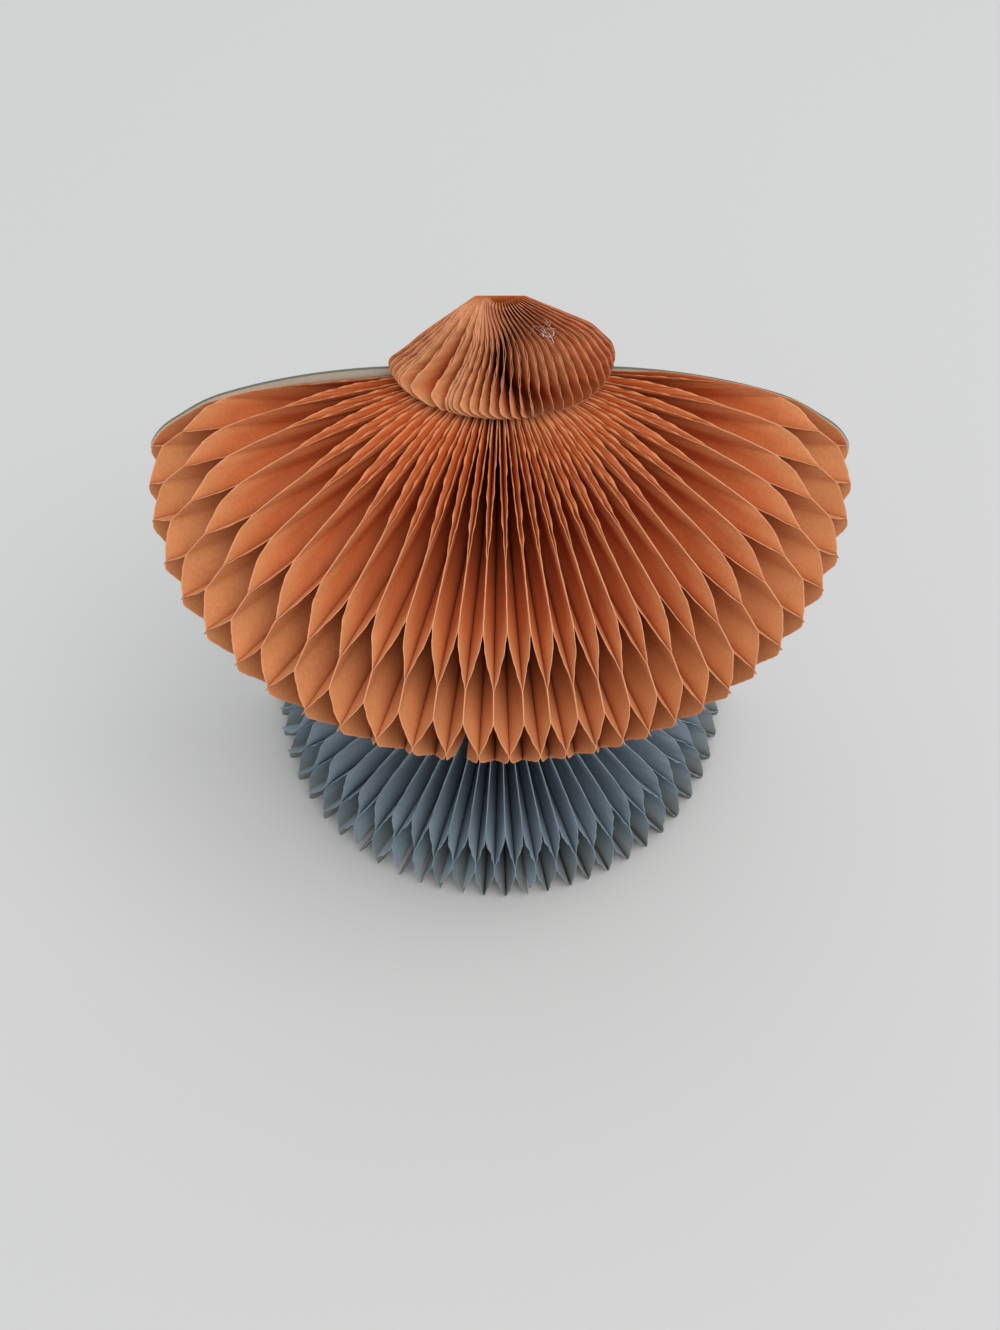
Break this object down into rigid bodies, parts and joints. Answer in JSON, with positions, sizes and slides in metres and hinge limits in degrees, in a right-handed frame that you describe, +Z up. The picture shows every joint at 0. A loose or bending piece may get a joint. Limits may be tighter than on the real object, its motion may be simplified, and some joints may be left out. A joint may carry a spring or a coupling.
{
  "type": "honeycomb tissue table decoration",
  "caption": "Half-round honeycomb tissue decoration: a domed shade with a cap over a wide foot, held open between two flat card covers with a bare stem.",
  "frame": {"origin": "the foot of the spine: where the fold between the two covers meets the table, in the plane of the covers' front faces", "axes": "+Z up along the spine, +Y out of the covers' backs, +X to the right seen from the tissue side"},
  "size_m": [0.192, 0.0955, 0.2028],
  "materials": {
    "orange_tissue": "matte dyed tissue paper, salmon orange, pale along its cut edges",
    "blue_tissue": "matte dyed tissue paper, slate blue fading to grey olive at the bottom",
    "cover_card": "aged cream card with a dark grey green edge",
    "strip_paper": "plain brown gummed paper strip"
  },
  "bodies": {
    "root": {"orange_honeycomb": "orange_tissue", "blue_honeycomb": "blue_tissue", "right_cover": "cover_card", "left_cover": "cover_card", "hinge_strip": "strip_paper"}
  },
  "joints": []
}
